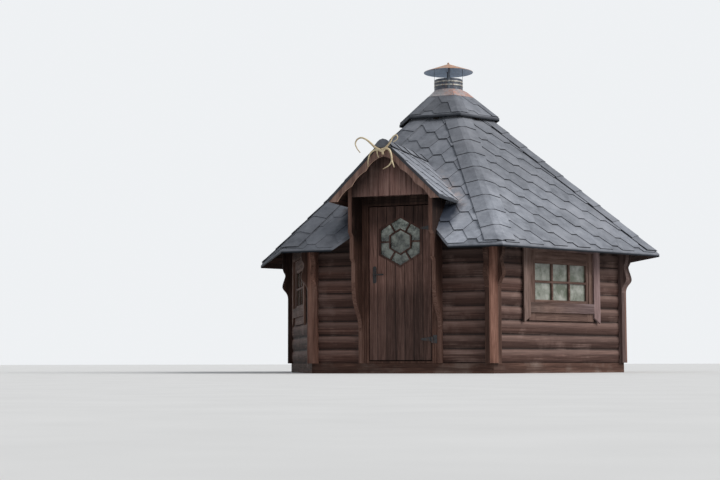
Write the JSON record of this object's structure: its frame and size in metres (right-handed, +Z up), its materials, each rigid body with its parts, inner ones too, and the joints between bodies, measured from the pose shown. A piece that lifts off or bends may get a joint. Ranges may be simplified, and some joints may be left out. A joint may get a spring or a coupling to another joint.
{
  "type": "barbecue hut",
  "caption": "Hexagonal log barbecue hut with a felt shingle roof, raised smoke cap with flue and cowl, and a gabled porch over a hinged door with a six-cornered window.",
  "frame": {"origin": "on the ground under the centre of the hexagonal plan", "axes": "+Z up, -Y out of the door, +X to the right seen from in front of the door"},
  "size_m": [4.5796, 4.16, 3.4347],
  "materials": {
    "log_wood": "dark brown stain",
    "board_wood": "dark red-brown stain",
    "floor_wood": "bare boards",
    "roof_felt": "mineral felt shingles on boards",
    "flue_steel": "dark stove steel",
    "rusty_steel": "weathered sheet",
    "ironwork": "black",
    "glass": "clear",
    "antler": "weathered horn"
  },
  "bodies": {
    "hut": {"antlers": "antler", "bargeboard_left": "board_wood", "bargeboard_right": "board_wood", "cap_spacers": "board_wood", "cheek_left": "board_wood", "cheek_right": "board_wood", "corner_covers": "board_wood", "corner_stiles": "board_wood", "cowl": "rusty_steel", "cowl_knob": "rusty_steel", "cowl_stays": "flue_steel", "door_head_rail": "board_wood", "door_jamb_left": "board_wood", "door_jamb_right": "board_wood", "door_threshold": "board_wood", "floor_boards": "floor_wood", "floor_joists": "floor_wood", "flue": "flue_steel", "flue_bands": "flue_steel", "gable_infill": "board_wood", "gable_wall": "board_wood", "hinge_pintles": "ironwork", "plinth_frame": "board_wood", "porch_roof_left": "roof_felt", "porch_roof_right": "roof_felt", "roof_back": "roof_felt", "roof_cap": "roof_felt", "roof_front": "roof_felt", "roof_left_back": "roof_felt", "roof_left_front": "roof_felt", "roof_right_back": "roof_felt", "roof_right_front": "roof_felt", "skirt_flashing": "rusty_steel", "wall_back": "log_wood", "wall_front_left": "log_wood", "wall_front_right": "log_wood", "wall_left_back": "log_wood", "wall_left_front": "log_wood", "wall_plates": "log_wood", "wall_right_back": "log_wood", "wall_right_front": "log_wood", "window_back": "board_wood", "window_casings": "board_wood", "window_glass": "glass", "window_left_front": "board_wood", "window_right_front": "board_wood"},
    "door": {"door_glass": "glass", "door_handle": "ironwork", "door_leaf": "board_wood", "door_light_frame": "board_wood", "hinge_straps": "ironwork"}
  },
  "joints": [
    {"name": "door_hinge", "type": "hinge", "parent": "hut", "child": "door", "pos_m": [0.335, -1.672, 0.88], "axis": [0, 0, 1], "range_deg": [0, 90]}
  ]
}
